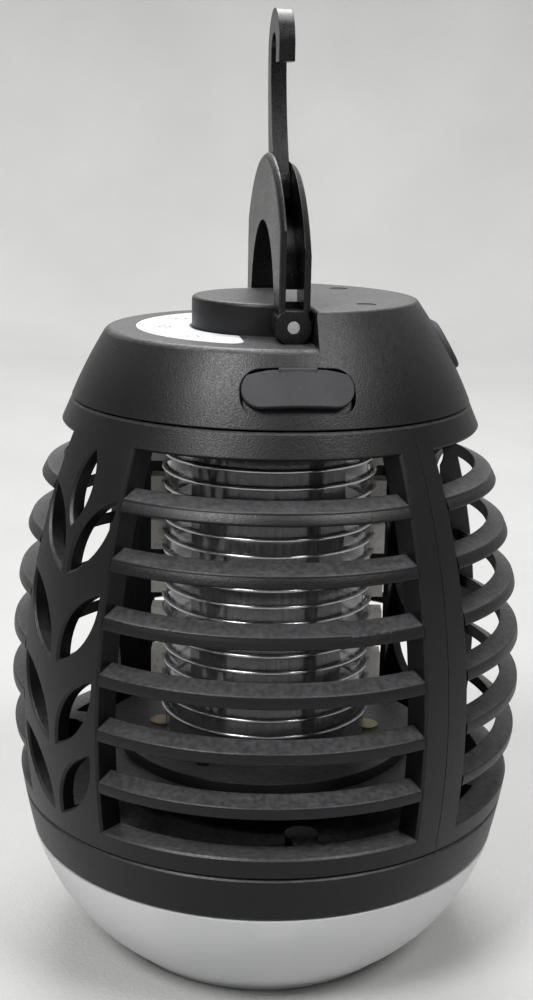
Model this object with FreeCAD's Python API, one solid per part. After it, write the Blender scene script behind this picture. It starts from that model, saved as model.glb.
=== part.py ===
"""Rechargeable electric bug zapper lantern: an egg-shaped hanging lamp.

Millimetres. The origin is the centre of the flat under the white diffuser, +Z is up, and the
port cover faces -Y. An azimuth is measured about Z from -Y (0 degrees) towards +X (90 degrees).

From the bottom up: a milky diffuser over the lantern board, a base tray that catches the insects,
a slotted cage in two halves, the wire grid round a clear light tube, and a head with the battery
and electronics. On top, a folding bail carries a swinging hook. The lower half twists off the head.
"""
import FreeCAD, Part
import math
import os

from FreeCAD import Placement, Rotation, Vector

# ---- driving dimensions: outside shape --------------------------------------------------------
WIDEST_RADIUS = 45.47        # of the egg, at WIDEST_Z
WIDEST_Z = 49.9
BULGE_RADIUS = 119.3         # arc of the egg's side, base ring to cage top
SHOULDER_RADIUS = 84.3       # arc of the head's shoulder
SHOULDER_ARC_R = -43.1       # that arc's centre: radius and height
SHOULDER_ARC_Z = 67.2
DOME_RADIUS = 38.65          # arc of the diffuser
DOME_ARC_R = 5.1
DOME_ARC_Z = 32.6

DIFFUSER_TOP = 22.0
BASE_RING_BOTTOM = 22.2
BASE_RING_TOP = 30.0
CAGE_BOTTOM = 30.2
CAGE_TOP = 99.95
HEAD_BOTTOM = 100.3
LEDGE_Z = 111.8              # low step of the head, where the bail folds down
PLATEAU_Z = 117.2            # high step
PLATEAU_EDGE_X = 3.6         # the high step lies on the +X side of this wall
BOSS_RADIUS = 13.9           # round boss on the axis, as high as the plateau
EDGE_ROUND = 0.7
STICKER_OUTER = 23.4
STICKER_EDGE_X = -7.2

# ---- cage ---------------------------------------------------------------------------------------
CAGE_TWIST = 32.5            # azimuth of a plain rib: the cage sits turned against the head
RIB_HALF = 6.15              # half angles, degrees
LEAF_PANEL_HALF = 14.1
WINDOWS = ((LEAF_PANEL_HALF, 90.0 - RIB_HALF), (RIB_HALF - 90.0, -LEAF_PANEL_HALF))
WINDOW_LOW = 34.0
WINDOW_HIGH = 95.8
BAR_PITCH = 9.1
BAR_COUNT = 6
BAR_THICK = 2.2
BAR_DEPTH = 3.1              # of a bar, inwards from the egg
BAR_RISE = 1.1               # of its faces over that depth
CAGE_WALL = 4.5              # depth of the ribs, inwards from the egg
CAGE_WALL_TOP = 95.2         # where the wall meets the collar
CAGE_SILL_INNER = 39.4
CAGE_COLLAR_INNER = 31.6
CAGE_COLLAR_TALL = 3.2
LEAF_WALL = 2.4
SEAM_GAP = 0.12
LEAF_WIDTH = 5.0
LEAF_RISE = 12.2
LEAF_PAIR_Z = (34.5, 47.0, 61.1, 75.6)
BUD_Z = (82.9, 94.6)

# ---- bayonet between the cage and the head --------------------------------------------------
LUG_AZIMUTHS = (-45.0, 45.0)  # from the middle of each cage half
LUG_HALF = 7.0
LUG_INNER = 29.9
LUG_LOW = 97.2
LUG_HIGH = 98.8
SKIRT_INNER = 28.4
SKIRT_OUTER = 31.3
TWIST_TRAVEL = 25.0

# ---- bail and hook ------------------------------------------------------------------------------
HINGE_X = 0.45
HINGE_Z = 114.4
BAIL_BACK = 2.35             # from the hinge to the face that lies on the ledge
BAIL_FRONT = 2.65            # to the other face, which lies level with the plateau
BAIL_OUTER_BACK = 27.5       # outer radius of the arch at those two faces
BAIL_OUTER_FRONT = 24.3
BAIL_INNER = 15.2
BAIL_HALF_WIDTH = 22.0
BAIL_BACK_ROUND = 1.3        # outer rim of the face that lies on the ledge
BAIL_RIM_ROUND = 0.5
BARREL_RADIUS = 2.95
PIN_RADIUS = 1.0
RUNNING_GAP = 0.05
HOOK_PIVOT = (-1.8, 135.2)   # Y, Z
HOOK_X = 0.5                 # middle of the hook's plate
HOOK_THICK = 2.6
HOOK_SLOT_WIDE = 2.9
HOOK_SLOT_FLOOR = 16.4
CURL_CENTRE = (-1.0, 157.5)
CURL_OUTER = 6.7
CURL_INNER = 2.9
HOOK_HUB = 4.0
HOOK_BEND_HIGH = 8.0         # lengths of the bend's handles, at the curl and at the hub
HOOK_BEND_LOW = 4.0
TIP_WINDOW_Z = (117.9, 119.8)
HOOK_TIP_DROP = 2.0          # the tip ends this far below the curl's centre

# ---- port cover and button ------------------------------------------------------------------
PORT_Z = 106.45
PORT_LONG = 17.6
PORT_TALL = 6.1
PORT_PROUD = 0.4
PORT_THICK = 1.3
PORT_FINGER_GAP = 1.3
PORT_MARGIN = 0.2            # all round the cover
PORT_BEAD_RADIUS = 0.4       # of the hinge bead, in the cover's top edge
PORT_BEAD_DROP = 0.25        # from the top edge down to the bead's centre
PORT_BEAD_HALF = 3.0
BUTTON_Z = 109.0
BUTTON_LONG = 13.0
BUTTON_TALL = 9.0
BUTTON_PROUD = 0.8
BUTTON_TRAVEL = 1.0

# ---- shells and inner parts -----------------------------------------------------------------
SHELL = 2.2
LEDGE_CEILING = 109.6
PLATEAU_CEILING = 115.0
TOWER_POINTS = ((13.8, 13.0), (13.8, -13.0), (-18.0, 8.0), (-18.0, -8.0))
TOWER_RADIUS = 3.0
TOWER_FOOT = 105.0
FLOOR_LOW = 96.2
FLOOR_HIGH = 98.0
BOARD_LOW = 103.6
BOARD_HIGH = 104.8
GRID_RADIUS = 18.6
WIRE_RADIUS = 0.33
WIRE_FIRST_Z = 43.5
WIRE_PITCH = 2.92
WIRE_COUNT = 17
TUBE_OUTER = 13.7
TUBE_INNER = 12.5
TUBE_LOW = 41.5
POST_AZIMUTHS = (82.2, -97.8)
TEETH_FIRST_Z = 47.9
TEETH_PITCH = 8.05
TEETH_TALL = 5.3
TEETH_COUNT = 6
TEETH_REACH = 20.75
POST_INNER = 17.0
POST_OUTER = 18.3
POST_HALF = 2.0
POST_LOW = 47.2
POST_HIGH = 92.75
BUS_AT = 17.65               # radius at which the bus wires stand
BUS_RADIUS = 0.4
ARM_RADIUS = 0.3
WIRE_GAP = 0.03              # between a wire and the post round it
SLEEVE_OUTER = 18.15
SLEEVE_INNER = 17.5
SLEEVE_SLOT_HALF = 2.1
GRID_TOP = 96.15
GRID_BASE_LOW = 35.0
GRID_BASE_HIGH = 38.4
GRID_FLANGE_RADIUS = 31.5
GRID_FLANGE_HIGH = 36.3
GRID_PLATE_RADIUS = 26.5
TERMINAL_AT = 18.9
TERMINAL_RADIUS = 2.1
TERMINAL_HIGH = 38.9
LEAD_POINTS = ((0.0, -2.5), (0.0, 2.5))
LEAD_RADIUS = 0.8
LEAD_HOLE_RADIUS = 0.9
GRID_SCREW_POINTS = ((16.2, 6.5), (16.2, -6.5), (-17.6, 0.0))
DECK_LOW = 27.5
DECK_HIGH = 29.5
RING_INNER = 40.4            # inside of the base ring's wall
HUB_RADIUS = 12.0
HUB_HIGH = 31.6
CONTACT_RADII = (4.0, 8.0)
CAGE_SCREW_RADIUS = 35.6
CAGE_SCREW_AZIMUTHS = (-60.0, 60.0)
LANTERN_BOARD_LOW = 24.4
LANTERN_BOARD_HIGH = 25.6
BOARD_SCREW_RADIUS = 26.0
BOARD_SCREW_AZIMUTHS = (0, 120, 240)


# ---- small tools ----------------------------------------------------------------------------
def polar(radius, azimuth, z=0.0):
    """The point at an azimuth: 0 is -Y, 90 is +X."""
    angle = math.radians(azimuth)
    return Vector(radius * math.sin(angle), -radius * math.cos(angle), z)


def rod(radius, low, high, x=0.0, y=0.0):
    return Part.makeCylinder(radius, high - low, Vector(x, y, low))


def washer(outer, inner, low, high):
    return rod(outer, low, high).cut(rod(inner, low - 1, high + 1))


def block(x_range, y_range, z_range):
    size = [pair[1] - pair[0] for pair in (x_range, y_range, z_range)]
    return Part.makeBox(*size, Vector(x_range[0], y_range[0], z_range[0]))


def turned(shape, azimuth):
    """A copy turned about Z by an angle."""
    copy = shape.copy()
    copy.rotate(Vector(0, 0, 0), Vector(0, 0, 1), azimuth)
    return copy


def fused(shapes):
    first = shapes[0]
    return first.multiFuse(shapes[1:]) if len(shapes) > 1 else first


def line(start, end):
    return Part.makeLine(Vector(start[0], 0, start[1]), Vector(end[0], 0, end[1]))


def arc(start, middle, end):
    points = [Vector(p[0], 0, p[1]) for p in (start, middle, end)]
    return Part.Arc(*points).toShape()


def polyline(points):
    return [line(a, b) for a, b in zip(points, points[1:])]


def revolved(edges, start=0.0, end=360.0):
    """A solid turned from edges in the radius-height plane, between two azimuths."""
    face = Part.Face(Part.Wire(edges))
    solid = face.revolve(Vector(0, 0, 0), Vector(0, 0, 1), end - start)
    return turned(solid, start - 90.0)


def sector(r_range, z_range, start, end):
    (r0, r1), (z0, z1) = r_range, z_range
    return revolved(polyline([(r0, z0), (r1, z0), (r1, z1), (r0, z1), (r0, z0)]), start, end)


def egg_radius(z, offset=0.0):
    """Outside radius of the egg's side at a height; offset moves it along its normal."""
    reach = BULGE_RADIUS + offset
    return WIDEST_RADIUS - BULGE_RADIUS + math.sqrt(reach ** 2 - (z - WIDEST_Z) ** 2)


def shoulder_radius(z, offset=0.0):
    reach = SHOULDER_RADIUS + offset
    return SHOULDER_ARC_R + math.sqrt(reach ** 2 - (z - SHOULDER_ARC_Z) ** 2)


def dome_radius(z, offset=0.0):
    reach = DOME_RADIUS + offset
    return DOME_ARC_R + math.sqrt(reach ** 2 - (z - DOME_ARC_Z) ** 2)


def curve(radius_at, low, high, offset=0.0):
    """The arc of one of those three outlines between two heights."""
    middle = (low + high) / 2
    points = [(radius_at(z, offset), z) for z in (low, middle, high)]
    return arc(*points)


def shoulder_solid(offset, low=HEAD_BOTTOM, high=PLATEAU_Z):
    """The head's shoulder as a full solid, moved out along its normal by offset."""
    top = (shoulder_radius(high, offset), high)
    bottom = (shoulder_radius(low, offset), low)
    rest = polyline([top, (0, high), (0, low), bottom])
    return revolved([curve(shoulder_radius, low, high, offset)] + rest)


def stadium(length, height, low, high, lift=0.0):
    """A prism with round ends, length along X and height along Y, centred lift up Y."""
    half = (length - height) / 2
    radius = height / 2
    middle = block((-half, half), (lift - radius, lift + radius), (low, high))
    ends = [rod(radius, low, high, x, lift) for x in (-half, half)]
    return fused([middle] + ends).removeSplitter()


def on_shoulder(shape, azimuth, z):
    """Moves a shape from its own axes to the shoulder: X round it, Y up it, Z out of it."""
    radius = shoulder_radius(z)
    normal = Vector(radius - SHOULDER_ARC_R, 0, z - SHOULDER_ARC_Z)
    tilt = 90.0 - math.degrees(math.atan2(normal.z, normal.x))
    copy = shape.copy()
    copy.rotate(Vector(0, 0, 0), Vector(1, 0, 0), tilt)
    copy.translate(Vector(0, -radius, z))
    return turned(copy, azimuth)


def rounded(shape, radius, wanted):
    """Rounds the edges for which wanted(edge) is true."""
    return shape.makeFillet(radius, [edge for edge in shape.Edges if wanted(edge)])


def middle_of(edge):
    return edge.valueAt((edge.FirstParameter + edge.LastParameter) / 2)


# ---- head -----------------------------------------------------------------------------------
def head_outside():
    """The shoulder with its plateau, ledge and boss."""
    soft_z = LEDGE_Z - EDGE_ROUND
    rim = shoulder_radius(LEDGE_Z)
    corner = arc((shoulder_radius(soft_z), soft_z), (rim - 0.1, LEDGE_Z - 0.22), (rim - EDGE_ROUND, LEDGE_Z))
    bottom = (shoulder_radius(HEAD_BOTTOM), HEAD_BOTTOM)
    rest = polyline([(rim - EDGE_ROUND, LEDGE_Z), (0, LEDGE_Z), (0, HEAD_BOTTOM), bottom])
    lower = revolved([curve(shoulder_radius, HEAD_BOTTOM, soft_z), corner] + rest)
    high = shoulder_solid(0.0, LEDGE_Z - 2, PLATEAU_Z)
    plateau = high.common(block((PLATEAU_EDGE_X, 40), (-40, 40), (LEDGE_Z - 2, PLATEAU_Z + 1)))
    upper = plateau.fuse(rod(BOSS_RADIUS, LEDGE_Z - 2, PLATEAU_Z)).removeSplitter()
    upper = rounded(upper, EDGE_ROUND, lambda edge: edge.BoundBox.ZMin > PLATEAU_Z - 0.01)
    return lower.fuse(upper)


def barrel_troughs():
    """Round hollows in the ledge that give the bail's two barrels room to turn."""
    shapes = []
    for side in (-1, 1):
        start = Vector(HINGE_X, side * (BAIL_INNER - 0.3), HINGE_Z)
        shapes.append(Part.makeCylinder(BARREL_RADIUS + 0.3, BAIL_HALF_WIDTH - BAIL_INNER + 0.7,
                                        start, Vector(0, side, 0)))
    return shapes


def top_housing():
    """Upper shell: everything on the head that shows, from the seam to the plateau."""
    inner = shoulder_solid(-SHELL, HEAD_BOTTOM - 1, PLATEAU_CEILING)
    hollow_low = inner.common(rod(60, HEAD_BOTTOM - 1, LEDGE_CEILING))
    hollow_high = inner.common(block((PLATEAU_EDGE_X + SHELL, 60), (-60, 60), (LEDGE_CEILING, 120)))
    boss_hollow = rod(BOSS_RADIUS - 5.5, LEDGE_CEILING - 1, PLATEAU_CEILING)
    shell = head_outside().cut(fused([hollow_low, hollow_high, boss_hollow]))
    shell = shell.cut(Part.makeCompound(barrel_troughs()))

    towers = [rod(TOWER_RADIUS, TOWER_FOOT, tower_ceiling(x) + 0.5, x, y) for x, y in TOWER_POINTS]
    shell = fused([shell] + towers)
    tools = [hinge_pin(side) for side in (-1, 1)]
    for x, y in TOWER_POINTS:
        tools.append(rod(1.65, TOWER_FOOT + 2.0, PLATEAU_Z + 1, x, y))
        tools.append(rod(0.95, TOWER_FOOT - 1, TOWER_FOOT + 3, x, y))
    tools.append(port_recess())
    tools.append(on_shoulder(stadium(9.4, 3.6, -SHELL - 3, 0, 0.0), 0, PORT_Z - 0.6))
    tools.append(on_shoulder(stadium(BUTTON_LONG + 0.3, BUTTON_TALL + 0.3, -4, 3), 90, BUTTON_Z))
    return shell.cut(Part.makeCompound(tools))


def tower_ceiling(x):
    return PLATEAU_CEILING if x > 0 else LEDGE_CEILING


def port_recess():
    """The pocket that the port cover closes, with a finger gap along its lower edge."""
    long = PORT_LONG + 2 * PORT_MARGIN
    tall = PORT_TALL + 2 * PORT_MARGIN
    ends = [stadium(long, tall, -5, 3, lift) for lift in (0.0, -PORT_FINGER_GAP)]
    sides = block((-long / 2, long / 2), (-PORT_FINGER_GAP, 0), (-5, 3))
    opening = on_shoulder(fused(ends + [sides]).removeSplitter(), 0, PORT_Z)
    return opening.cut(shoulder_solid(PORT_PROUD - PORT_THICK - 0.25, HEAD_BOTTOM - 3, PLATEAU_Z + 1))


def hinge_pin(side):
    """One steel pin of the bail's hinge, pressed into the boss."""
    start = Vector(HINGE_X, side * (BOSS_RADIUS - 4.0), HINGE_Z)
    return Part.makeCylinder(PIN_RADIUS, BAIL_HALF_WIDTH - BOSS_RADIUS + 4.0, start, Vector(0, side, 0))


def head_base():
    """Floor of the head, with the bayonet skirt, the screw posts and the grid's seat."""
    floor = rod(SKIRT_OUTER, FLOOR_LOW, FLOOR_HIGH)
    skirt = washer(SKIRT_OUTER, SKIRT_INNER, FLOOR_LOW, HEAD_BOTTOM + 1.2)
    posts = [rod(2.6, FLOOR_HIGH - 0.5, TOWER_FOOT - 0.05, x, y) for x, y in TOWER_POINTS]
    solid = fused([floor, skirt] + posts)
    tools = []
    for x, y in TOWER_POINTS:
        tools.append(rod(0.8, FLOOR_HIGH + 1, TOWER_FOOT + 1, x, y))
    for x, y in GRID_SCREW_POINTS:
        tools.append(rod(1.1, FLOOR_LOW - 1, FLOOR_HIGH + 1, x, y))
    for angle in lug_azimuths():
        tools.append(bayonet_slot(angle))
    tools += lead_holes(FLOOR_LOW, FLOOR_HIGH)
    return solid.cut(Part.makeCompound(tools))


def lead_holes(low, high):
    """Tools for the two lead holes through a piece that lies between two heights."""
    return [rod(LEAD_HOLE_RADIUS, low - 1, high + 1, x, y) for x, y in LEAD_POINTS]


def lug_azimuths():
    """Azimuths of the cage's four bayonet lugs in the locked position."""
    halves = [CAGE_TWIST - 90.0, CAGE_TWIST + 90.0]
    return [half + lug for half in halves for lug in LUG_AZIMUTHS]


def bayonet_slot(azimuth):
    """An L-shaped slot: the lug turns along it, then drops out of its far end."""
    reach = LUG_HALF + 0.6
    radii = (LUG_INNER - 0.25, SKIRT_OUTER + 1)
    along = sector(radii, (LUG_LOW - 0.15, LUG_HIGH + 0.15), azimuth - reach, azimuth + TWIST_TRAVEL + reach)
    drop = sector(radii, (FLOOR_LOW - 1, LUG_LOW), azimuth + TWIST_TRAVEL - reach,
                  azimuth + TWIST_TRAVEL + reach)
    return along.fuse(drop)


def label_sticker():
    """C-shaped white film on the ledge, round the boss, with rounded ends."""
    ring = washer(STICKER_OUTER, BOSS_RADIUS + 0.4, LEDGE_Z, LEDGE_Z + 0.08)
    film = ring.cut(block((STICKER_EDGE_X, 30), (-30, 30), (LEDGE_Z - 1, LEDGE_Z + 1)))

    def is_outer_corner(edge):
        middle = middle_of(edge)
        return edge.BoundBox.ZLength > 0.05 and math.hypot(middle.x, middle.y) > STICKER_OUTER - 0.1

    return rounded(film, 2.0, is_outer_corner)


def screw_plugs():
    """Two rubber plugs in the plateau, over the housing screws."""
    return Part.makeCompound([rod(1.6, PLATEAU_Z - 1.6, PLATEAU_Z - 0.1, x, y)
                              for x, y in TOWER_POINTS if x > 0])


def housing_screws():
    """Four self-tapping screws that pull the top housing onto the head base."""
    return Part.makeCompound([screw(x, y, TOWER_FOOT + 2.0, 1.5, 0.8, 6.5) for x, y in TOWER_POINTS])


def screw(x, y, seat, head_radius, shank_radius, length, up=1):
    """A pan-head screw with a cross recess, its head on the up side of its seat."""
    head = Part.makeCylinder(head_radius, 1.1, Vector(x, y, seat), Vector(0, 0, up))
    shank = Part.makeCylinder(shank_radius, length, Vector(x, y, seat), Vector(0, 0, -up))
    top = seat + up * 1.1
    cross = [block((x - 0.9, x + 0.9), (y - 0.2, y + 0.2), sorted((top - up * 0.5, top + up))),
             block((x - 0.2, x + 0.2), (y - 0.9, y + 0.9), sorted((top - up * 0.5, top + up)))]
    return head.fuse(shank).cut(Part.makeCompound(cross))


# ---- electronics in the head ----------------------------------------------------------------
def control_board():
    """Round circuit board with room for the screw towers, the port and the switch."""
    board = rod(28.0, BOARD_LOW, BOARD_HIGH)
    tools = [rod(TOWER_RADIUS + 0.6, BOARD_LOW - 1, BOARD_HIGH + 1, x, y) for x, y in TOWER_POINTS]
    tools.append(block((-40, 40), (-40, -26.6), (BOARD_LOW - 1, BOARD_HIGH + 1)))
    tools.append(block((16.8, 40), (-8, 8), (BOARD_LOW - 1, BOARD_HIGH + 1)))
    return board.cut(Part.makeCompound(tools))


def control_chips():
    """Surface-mounted controller, driver and charger."""
    top = BOARD_HIGH
    return Part.makeCompound([
        block((-6, -1), (-6, 0), (top, top + 1.6)),
        block((-12, -8), (-16, -11), (top, top + 1.4)),
        block((-4, 0), (10, 14), (top, top + 1.4)),
        rod(2.6, top, top + 3.2, 4.5, -16),
    ])


def usb_socket():
    """Micro USB socket on the front edge of the board."""
    shell = block((-3.75, 3.75), (-28.0, -22.5), (BOARD_HIGH, BOARD_HIGH + 2.7))
    mouth = block((-3.35, 3.35), (-29, -23.5), (BOARD_HIGH + 0.4, BOARD_HIGH + 2.3))
    tongue = block((-2.6, 2.6), (-27.0, -23.0), (BOARD_HIGH + 1.4, BOARD_HIGH + 1.9))
    return shell.cut(mouth).fuse(tongue)


def hv_transformer():
    """Step-up transformer: a core with its winding."""
    core = block((7.2, 15.8), (-5.2, 5.2), (BOARD_HIGH, BOARD_HIGH + 7.6))
    return rounded(core, 0.8, lambda edge: edge.BoundBox.ZLength > 7)


def hv_capacitors():
    """Two film capacitors that store the grid's charge."""
    top = BOARD_HIGH + 4.4
    return Part.makeCompound([block((-10, -2), (side * 19.0 - 2.4, side * 19.0 + 2.4), (BOARD_HIGH, top))
                              for side in (-1, 1)])


def switch_board():
    """Small board behind the power button."""
    return on_shoulder(block((-6, 6), (-4.2, 4.2), (-9.1, -8.1)), 90, BUTTON_Z)


def tact_switch():
    """Push switch: its plunger ends just short of the pressed button."""
    body = block((-3, 3), (-3, 3), (-8.1, -6.2))
    plunger = rod(1.7, -6.2, -4.6 - BUTTON_TRAVEL)
    return on_shoulder(body.fuse(plunger), 90, BUTTON_Z)


def battery():
    """Lithium pouch cell with its folded edge."""
    cell = block((-14.5, 10.5), (-20, 18), (FLOOR_HIGH + 0.3, FLOOR_HIGH + 5.0))
    cell = rounded(cell, 1.2, lambda edge: edge.BoundBox.YLength > 30)
    tab = block((-12.5, 8.5), (18, 20), (FLOOR_HIGH + 1.5, FLOOR_HIGH + 3.0))
    return cell.fuse(tab)


# ---- grid column ----------------------------------------------------------------------------
def uv_led_board():
    board = rod(12.0, GRID_TOP - 1.25, GRID_TOP - 0.05)
    return board.cut(Part.makeCompound(lead_holes(GRID_TOP - 1.25, GRID_TOP)))


def uv_leds():
    """Ultraviolet chips that shine down the light tube."""
    return Part.makeCompound([block_at(polar(8.0, step * 60.0), 2.8, GRID_TOP - 2.05, GRID_TOP - 1.25)
                              for step in range(6)])


def block_at(point, side, low, high):
    half = side / 2
    return block((point.x - half, point.x + half), (point.y - half, point.y + half), (low, high))


def light_tube():
    return washer(TUBE_OUTER, TUBE_INNER, TUBE_LOW, GRID_TOP - 0.05)


def grid_top_ring():
    """Insulating ring that hangs the posts from the head base."""
    ring = washer(TEETH_REACH, TUBE_OUTER + 0.1, POST_HIGH + 0.05, GRID_TOP - 0.05)
    holes = [rod(0.8, 91, 98, x, y) for x, y in GRID_SCREW_POINTS]
    return ring.cut(Part.makeCompound(holes))


def grid_screws():
    return Part.makeCompound([screw(x, y, FLOOR_HIGH, 1.5, 0.8, 4.2) for x, y in GRID_SCREW_POINTS])


def grid_wire(index, radius=WIRE_RADIUS):
    """One round turn of the grid."""
    z = WIRE_FIRST_Z + index * WIRE_PITCH
    return Part.makeTorus(GRID_RADIUS, radius, Vector(0, 0, z))


def grid_wires(first, azimuth):
    """Every other turn, joined by an upright bus wire in the post at that azimuth."""
    turns = range(first, WIRE_COUNT, 2)
    shapes = [grid_wire(index) for index in turns]
    at = polar(BUS_AT, azimuth)
    top = WIRE_FIRST_Z + turns[-1] * WIRE_PITCH
    shapes.append(rod(BUS_RADIUS, TERMINAL_HIGH, top + 1.0, at.x, at.y))
    shapes += [arm(index, azimuth, ARM_RADIUS) for index in turns]
    return fused(shapes)


def arm(index, azimuth, radius):
    """Short spoke from a bus wire out to one turn."""
    start = polar(BUS_AT, azimuth, WIRE_FIRST_Z + index * WIRE_PITCH)
    return Part.makeCylinder(radius, GRID_RADIUS - BUS_AT, start, polar(1, azimuth))


def grid_posts():
    """Two clear combs that hold the turns apart, with the bus wires inside."""
    shapes = []
    for azimuth in POST_AZIMUTHS:
        post = block((-POST_HALF, POST_HALF), (-POST_OUTER, -POST_INNER), (POST_LOW, POST_HIGH))
        spans = [(z, min(z + TEETH_TALL, POST_HIGH)) for z in teeth_heights()]
        teeth = [block((-POST_HALF, POST_HALF), (-TEETH_REACH, -POST_INNER), span) for span in spans]
        shapes.append(turned(fused([post] + teeth), azimuth))
    room = [grid_wire(index, WIRE_RADIUS + WIRE_GAP) for index in range(WIRE_COUNT)]
    for azimuth in POST_AZIMUTHS:
        at = polar(BUS_AT, azimuth)
        room.append(rod(BUS_RADIUS + WIRE_GAP, GRID_BASE_HIGH, POST_HIGH - 1.0, at.x, at.y))
        room += [arm(index, azimuth, ARM_RADIUS + WIRE_GAP) for index in range(WIRE_COUNT)]
    tool = fused(room)
    return Part.makeCompound([shape.cut(tool) for shape in shapes])


def grid_sleeve():
    """Smoky sleeve inside the turns, in two halves that leave room for the combs."""
    sleeve = washer(SLEEVE_OUTER, SLEEVE_INNER, GRID_BASE_HIGH + 0.05, POST_HIGH)
    slot = block((-SLEEVE_SLOT_HALF, SLEEVE_SLOT_HALF), (-SLEEVE_OUTER - 1, -SLEEVE_INNER + 1),
                 (GRID_BASE_HIGH - 1, POST_HIGH + 1))
    return sleeve.cut(Part.makeCompound([turned(slot, azimuth) for azimuth in POST_AZIMUTHS]))


def grid_terminals():
    """Two brass pads on the base plate that the bus wires stand on."""
    points = [polar(TERMINAL_AT, azimuth) for azimuth in POST_AZIMUTHS]
    pads = [rod(TERMINAL_RADIUS, GRID_BASE_HIGH, TERMINAL_HIGH, at.x, at.y) for at in points]
    return Part.makeCompound(pads)


def teeth_heights():
    return [TEETH_FIRST_Z + step * TEETH_PITCH for step in range(TEETH_COUNT)]


def grid_base():
    """Plate under the grid, with a seat for the light tube and four stubby pegs."""
    flange = rod(GRID_FLANGE_RADIUS, GRID_BASE_LOW, GRID_FLANGE_HIGH)
    plate = rod(GRID_PLATE_RADIUS, GRID_BASE_LOW, GRID_BASE_HIGH)
    seat = rod(TUBE_INNER - 0.1, GRID_BASE_HIGH - 0.5, TUBE_LOW + 2.0)
    collar = rod(TUBE_OUTER + 1.2, GRID_BASE_HIGH - 0.5, TUBE_LOW - 0.05)
    pegs = [rod(1.1, GRID_BASE_HIGH - 0.5, GRID_BASE_HIGH + 2.2, polar(21.2, a).x, polar(21.2, a).y)
            for a in (37, 143, 217, 323)]
    solid = fused([flange, plate, seat, collar] + pegs)
    tools = lead_holes(GRID_BASE_LOW, TUBE_LOW + 2.0)
    tools += [rod(1.05, GRID_BASE_LOW - 1, GRID_BASE_LOW + 2.05, x, 0) for x in CONTACT_RADII]
    return solid.cut(Part.makeCompound(tools))


def lantern_leads():
    """Two insulated leads down the tube, from the head to the grid's base."""
    return Part.makeCompound([rod(LEAD_RADIUS, GRID_BASE_LOW + 0.2, FLOOR_HIGH + 0.2, x, y)
                              for x, y in LEAD_POINTS])


def contact_pins():
    """Two sprung pins that touch the contact rings of the lower half."""
    return Part.makeCompound([rod(1.0, HUB_HIGH + 0.75, GRID_BASE_LOW + 2.0, x, 0) for x in CONTACT_RADII])


# ---- lower half -----------------------------------------------------------------------------
def cage_section():
    """Half section of the cage wall before its windows are cut."""
    low = CAGE_BOTTOM
    high = CAGE_TOP
    edge = 0.35
    side = curve(egg_radius, low + edge, high - edge)
    rim = egg_radius(high - edge)
    foot = egg_radius(low + edge)
    upper = polyline([(rim, high - edge), (rim - edge, high), (CAGE_COLLAR_INNER, high),
                      (CAGE_COLLAR_INNER, high - CAGE_COLLAR_TALL),
                      (egg_radius(CAGE_WALL_TOP, -CAGE_WALL), CAGE_WALL_TOP)])
    wall = curve(egg_radius, CAGE_WALL_TOP, WINDOW_LOW, -CAGE_WALL)
    lower = polyline([(egg_radius(WINDOW_LOW, -CAGE_WALL), WINDOW_LOW), (CAGE_SILL_INNER, low),
                      (foot - edge, low), (foot, low + edge)])
    return [side] + upper + [wall] + lower


def cage_half():
    """The half whose leaf panel faces azimuth 0: it is turned into place afterwards."""
    seam = math.degrees(SEAM_GAP / 2 / WIDEST_RADIUS)
    solid = revolved(cage_section(), -90 + seam, 90 - seam)
    for start, end in WINDOWS:
        solid = solid.cut(sector((25, 60), (WINDOW_LOW, WINDOW_HIGH), start, end))
    solid = solid.cut(leaf_pocket()).cut(leaves())
    solid = solid.makeChamfer(0.4, [edge for edge in solid.Edges if is_cage_rim(edge)])
    lugs = [sector((LUG_INNER, CAGE_COLLAR_INNER + 0.5), (LUG_LOW, LUG_HIGH), a - LUG_HALF, a + LUG_HALF)
            for a in LUG_AZIMUTHS]
    feet = [cage_foot(azimuth) for azimuth in CAGE_SCREW_AZIMUTHS]
    solid = fused([solid] + lugs + feet)
    holes = []
    for azimuth in CAGE_SCREW_AZIMUTHS:
        at = polar(CAGE_SCREW_RADIUS, azimuth)
        holes.append(rod(0.9, DECK_HIGH - 1, WINDOW_LOW - 0.6, at.x, at.y))
    return solid.cut(Part.makeCompound(holes))


def is_cage_rim(edge):
    """True for window and leaf edges on the outer face of the cage."""
    middle = middle_of(edge)
    inside = WINDOW_LOW - 0.1 < middle.z < WINDOW_HIGH + 0.1
    on_surface = abs(math.hypot(middle.x, middle.y) - egg_radius(middle.z)) < 0.03
    on_seam = abs(middle.y) < 0.2
    return inside and on_surface and not on_seam


def leaf_pocket():
    """Thins the leaf panel from the inside to an even wall."""
    low = WINDOW_LOW + 0.8
    high = WINDOW_HIGH - 0.8
    wall = curve(egg_radius, low, high, -LEAF_WALL)
    back = polyline([(egg_radius(high, -LEAF_WALL), high), (25, high), (25, low),
                     (egg_radius(low, -LEAF_WALL), low)])
    return revolved([wall] + back, -LEAF_PANEL_HALF + 1.6, LEAF_PANEL_HALF - 1.6)


def leaves():
    """Pairs of leaf-shaped holes on a stem, with a bud on top."""
    shapes = []
    for z in LEAF_PAIR_Z:
        radius = egg_radius(z + LEAF_RISE / 2)
        for root_angle, tip_angle in ((1.5, 11.7), (-1.7, -12.3)):
            root = (radius * math.sin(math.radians(root_angle)), z)
            tip = (radius * math.sin(math.radians(tip_angle)), z + LEAF_RISE)
            shapes.append(leaf(root, tip, LEAF_WIDTH))
    shapes.append(leaf((-0.6, BUD_Z[0]), (0.3, BUD_Z[1]), LEAF_WIDTH - 0.6))
    return Part.makeCompound(shapes)


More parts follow.
